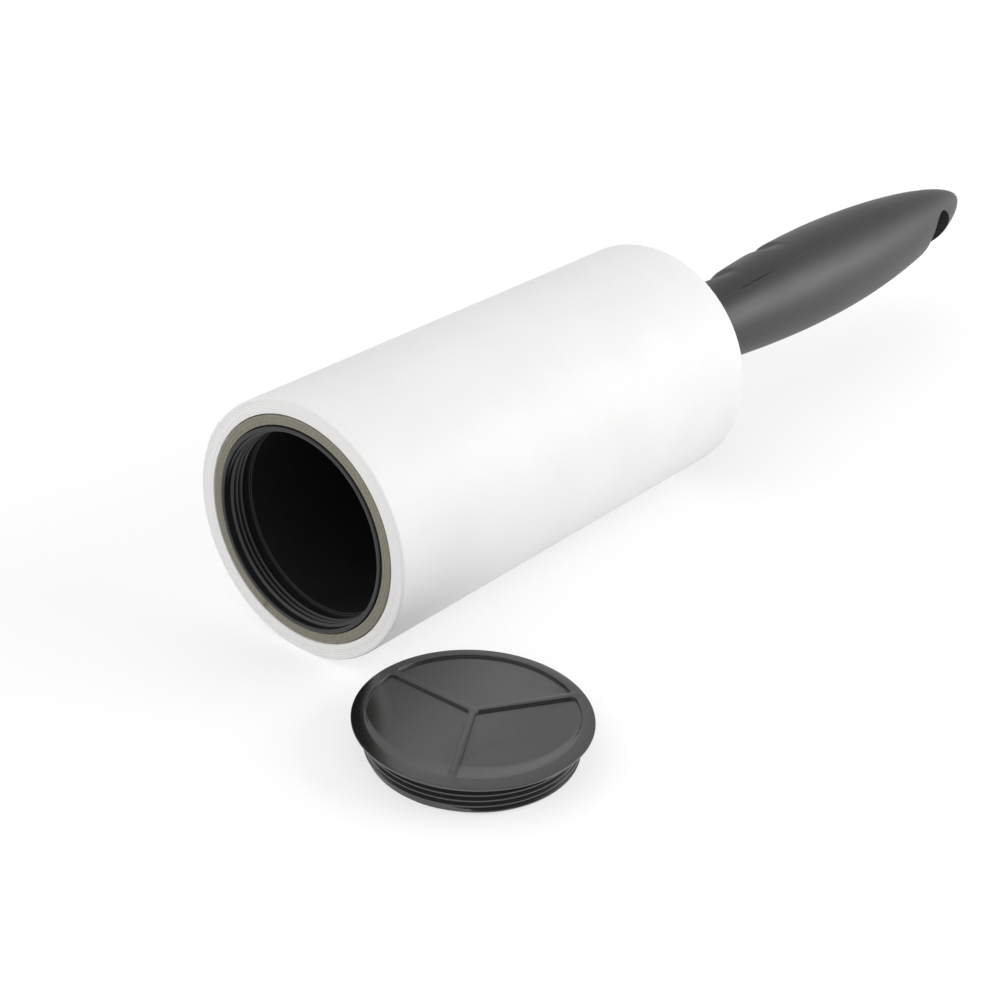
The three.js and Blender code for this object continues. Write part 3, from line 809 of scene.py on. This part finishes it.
# Outline of one of the cap's panels, from the rib at one angle round to the rib at another, with
# round corners: inset from the ribs' middle lines and from the recess's middle, where it comes in
# by lean at the front
def panel_outline(angles, gap, radius, lean):
    def rim_radius(angle):
        return radius - lean * max(0.0, -math.cos(angle - CAP_BACK))

    def on_rim(angle):
        return Vector((math.cos(angle), math.sin(angle))) * rim_radius(angle)

    def line(a, b):
        return [a.lerp(b, k / CAP_PANEL_SIDE_STEPS) for k in range(CAP_PANEL_SIDE_STEPS)]

    def arc(a, middle, b):
        return [a * (1 - s) ** 2 + middle * 2 * s * (1 - s) + b * s ** 2
                for s in (k / CAP_PANEL_CORNER_STEPS for k in range(CAP_PANEL_CORNER_STEPS))]

    sides = []
    for angle, turn in zip(angles, (1, -1)):
        along = Vector((math.cos(angle), math.sin(angle)))
        start = CAP_RIBS_MEET + gap * turn * Vector((-along.y, along.x))
        before = start.dot(along)
        reach = math.sqrt(before ** 2 - start.length_squared + rim_radius(angle) ** 2)
        far = start + along * (reach - before)
        sides.append((along, start, far))
    (first, start, a_far), (second, other, b_far) = sides
    away = other - start
    apex = start + first * (away.cross(second) / first.cross(second))

    corner = CAP_PANEL_CORNER
    a_start, a_end = apex + first * corner, a_far - first * corner
    b_start, b_end = apex + second * corner, b_far - second * corner
    low = math.atan2(a_far.y, a_far.x)
    high = low + (math.atan2(b_far.y, b_far.x) - low) % (2 * math.pi)
    reach = corner / radius
    run = high - low - 2 * reach
    rim = [on_rim(low + reach + run * k / CAP_PANEL_RIM_STEPS) for k in range(CAP_PANEL_RIM_STEPS)]
    return (line(a_start, a_end) + arc(a_end, a_far, on_rim(low + reach)) + rim
            + arc(on_rim(high - reach), b_far, b_end) + line(b_end, b_start)
            + arc(b_start, apex, a_start))


def panel_loops(angles):
    """Loops of one of the cap's dished panels, from its upper edge down and in to its middle"""
    def in_recess(point, depth):
        place = CAP_RECESS + point
        return on_cap(CAP_HEIGHT - depth, place.length, math.atan2(place.y, place.x))

    loops = []
    for inset, lean, depth in CAP_PANEL_WALL:
        gap = CAP_RIB_HALF + inset * MM
        points = panel_outline(angles, gap, CAP_RIM_INNER - inset * MM, lean * MM)
        loops.append([in_recess(point, depth * MM) for point in points])
    middle = sum(points, Vector((0, 0))) / len(points)
    for share in CAP_PANEL_RINGS:
        dish = CAP_PANEL_DISH * (1 - share ** 2)
        ring = [middle + (point - middle) * share for point in points]
        loops.append([in_recess(point, CAP_PANEL_DEPTH + dish) for point in ring])
    return loops


# Screw cap: rounded flange and skirt turned in one, with three dished panels between the
# raised rim and the Y of ribs
def cap_body(material):
    outline = rounded([
        (CAP_HEIGHT, CAP_TOP_RADIUS, 0),
        (CAP_HEIGHT, CAP_RADIUS - CAP_EDGE_TAPER, 0.5 * MM),
        (CAP_SKIRT_LENGTH + CAP_BEVEL_HEIGHT, CAP_RADIUS, 0.4 * MM),
        (CAP_SKIRT_LENGTH, CAP_RADIUS - CAP_BEVEL_WIDTH, 0.15 * MM),
        (CAP_SKIRT_LENGTH, CAP_SKIRT_ROOT, 0.15 * MM),
        (0.0, CAP_SKIRT_ROOT, 0.25 * MM),
        (0.0, CAP_SKIRT_BORE, 0.2 * MM),
        (CAP_PLATE_UNDERSIDE, CAP_SKIRT_BORE, 0.5 * MM),
        (CAP_PLATE_UNDERSIDE, CAP_PLATE_MIDDLE, 0),
    ])

    def grow(work):
        loops = []
        for height, radius in outline:
            loops.append([on_cap(height, radius, angle) for angle in steps(ROUND_STEPS)])
        rows = skin(work, loops)
        work.faces.new(rows[-1])
        edges = ring_edges(work, rows[0])
        for angles in zip(CAP_RIB_ANGLES, CAP_RIB_ANGLES[1:] + CAP_RIB_ANGLES[:1]):
            rows = skin(work, panel_loops(angles))
            work.faces.new(rows[-1])
            edges += ring_edges(work, rows[0])
        bmesh.ops.triangle_fill(work, use_beauty=True, edges=edges)

    obj = smooth(build("cap_body", grow), 40)
    dress(obj, "cap_body", "cap_grey", material, "cap")
    thread = helix("cap_thread", on_cap, CAP_THREAD_START, CAP_THREAD_TURNS,
                   CAP_SKIRT_ROOT, CAP_THREAD_CREST, -THREAD_SINK, CAP_THREAD_BEGIN)
    dress(thread, "cap_body", "cap_grey", material)


# Half size of the handle's section at x: a parabola from the neck up to the widest place,
# then half a superellipse to the tip
def swell(x, grip_half, nose_power):
    if x >= GRIP_PEAK_X:
        share = min((x - GRIP_PEAK_X) / GRIP_NOSE, 1)
        return grip_half * (1 - share ** nose_power) ** (1 / nose_power)
    share = min((GRIP_PEAK_X - x) / (GRIP_PEAK_X - NECK_END_X), 1)
    return NECK_RADIUS + (grip_half - NECK_RADIUS) * (1 - share * share)


def smoothstep(value, start, end):
    share = min(max((value - start) / (end - start), 0), 1)
    return share * share * (3 - 2 * share)


def finger_groove(x, back):
    """Depth of the finger grooves at x, where back is 1 on the back and 0 at the parting line"""
    depth = 0.0
    for place in GROOVE_PLACES:
        away = x - NECK_X - place
        length = GROOVE_LEAD if away < 0 else GROOVE_STEEP
        depth += GROOVE_DEPTH * smoothstep(1 - abs(away) / length, 0, 1)
    return depth * smoothstep(back, *GROOVE_FADE)


def parting_gap(x):
    """Gap between the two halves, which opens up for a stretch by the neck"""
    opening = smoothstep(x, PARTING_GROOVE_FROM, PARTING_GROOVE_FROM + PARTING_GROOVE_OPENS)
    closing = smoothstep(x, PARTING_GROOVE_TO - PARTING_GROOVE_CLOSES, PARTING_GROOVE_TO)
    return PARTING_GAP + (PARTING_GROOVE - PARTING_GAP) * opening * (1 - closing)


def on_handle(x, thick, wide):
    """Point of the handle's own frame, turned into the roller's"""
    y = thick * math.cos(GRIP_TURN) - wide * math.sin(GRIP_TURN)
    z = thick * math.sin(GRIP_TURN) + wide * math.cos(GRIP_TURN)
    return (x, y, AXIS_Z + z)


def handle_stations():
    """Places of the handle's sections, closer together by the finger grooves and at the tip"""
    places = []
    x = NECK_X
    while x < GRIP_PEAK_X:
        places.append(x)
        aways = [x - NECK_X - place for place in GROOVE_PLACES]
        near = any(-STATION_NEAR_BEFORE < away < STATION_NEAR_BEHIND for away in aways)
        x += STATION_NEAR if near else STATION_FAR
    for degrees in NOSE_DEGREES:
        places.append(GRIP_PEAK_X + GRIP_NOSE * math.sin(math.radians(degrees)))
    return places


# Outer half of the handle, from parting line to parting line over the front or the back
def half_grip(name, side):
    shares = [angle / (math.pi / 2) for angle in GRIP_ANGLES_BY_PARTING]
    left = 1 - shares[-1]
    shares += [shares[-1] + left * k / GRIP_EVEN_STEPS for k in range(1, GRIP_EVEN_STEPS + 1)]

    def grow(work):
        loops = []
        for x in handle_stations():
            thick = swell(x, GRIP_THICKNESS / 2, NOSE_POWER_THICK)
            wide = swell(x, GRIP_WIDTH / 2, NOSE_POWER_WIDE)
            first = math.asin(min(0.5 * parting_gap(x) / thick, PARTING_GAP_SHARE))
            slopes = [first + (math.pi / 2 - first) * share for share in shares]
            slopes += [math.pi - slope for slope in slopes[-2::-1]]
            easing = PARTING_EASE * min(wide / PARTING_EASE_FULL_FROM, 1)
            easing_width = PARTING_EASE_WIDTHS * easing + PARTING_EASE_MORE
            loop = []
            for slope in slopes:
                back = math.sin(slope)
                cut = finger_groove(x, back) if side > 0 else 0.0
                ease = easing * (1 - smoothstep(back * thick, 0, easing_width))
                loop.append(on_handle(x, side * (thick - cut) * back, (wide - ease) * math.cos(slope)))
            loops.append(loop)
        skin(work, loops, caps=True)

    return build(name, grow)


# Bore of the hanging hole along the handle's thickness, flared with a round lip
def hanging_bore():
    face = swell(HANG_HOLE_X, GRIP_THICKNESS / 2, NOSE_POWER_THICK)
    lip = HANG_HOLE_LIP
    profile = []
    for k in range(HANG_HOLE_LIP_STEPS + 1):
        angle = math.radians(90 * k / HANG_HOLE_LIP_STEPS)
        along = face - HANG_HOLE_LIP_DEPTH * lip + HANG_HOLE_LIP_RUN * lip * math.sin(angle)
        profile.append((along, HANG_HOLE_RADIUS + lip * (1 - math.cos(angle))))
    profile.append((GRIP_THICKNESS, HANG_HOLE_RADIUS + HANG_HOLE_FLARE * lip))
    outline = [(-along, radius) for along, radius in profile[::-1]] + profile

    def grow(work):
        loops = []
        for along, radius in outline:
            loop = []
            for angle in steps(SMALL_STEPS):
                x = HANG_HOLE_X + radius * math.cos(angle)
                loop.append(on_handle(x, along, radius * math.sin(angle)))
            loops.append(loop)
        skin(work, loops, caps=True)

    return build("hanging_bore", grow)


def cut_away(obj, cutter):
    """Subtracts the cutter from the object for good"""
    change = obj.modifiers.new("cut", "BOOLEAN")
    change.operation = "DIFFERENCE"
    change.solver = "EXACT"
    change.object = cutter
    depsgraph = bpy.context.evaluated_depsgraph_get()
    mesh = bpy.data.meshes.new_from_object(obj.evaluated_get(depsgraph))
    obj.modifiers.clear()
    obj.data = mesh


# Both halves of the handle, cut by the hanging hole
def handle(material):
    bore = hanging_bore()
    halves = {"front_grip": (-1, "handle_front_shell"), "back_grip": (1, "handle_back_shell")}
    for name, (side, node) in halves.items():
        obj = half_grip(name, side)
        cut_away(obj, bore)
        smooth(obj)
        dress(obj, "handle_body", "handle_grey", material, node)
    bpy.data.objects.remove(bore)


camera()
surroundings()
floor()
backdrop()
softbox()
black = plastic("drum_plastic", (0.013, 0.013, 0.014), roughness=0.38)
cap_grey = plastic("cap_plastic", (0.01, 0.01, 0.0102), roughness=0.2, specular=1.0, ior=1.55)
handle_grey = plastic("handle_plastic", (0.022, 0.022, 0.0225), roughness=0.47, specular=0.65)
nylon = plastic("nylon", (0.7, 0.67, 0.6), roughness=0.5)
metal = steel()

paper_roll()
card_core()
drum_shell(black)
cap_body(cap_grey)
handle(handle_grey)

# Nodes that keep their CAD shape
carried = {
    "compartment_floor": black,
    "hub_bush": nylon,
    "thrust_washer": nylon,
    "spindle": metal,
    "axle_washer": metal,
    "axle_screw": metal,
}
for name, material in carried.items():
    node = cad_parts[name]
    node.data.materials.clear()
    node.data.materials.append(material)
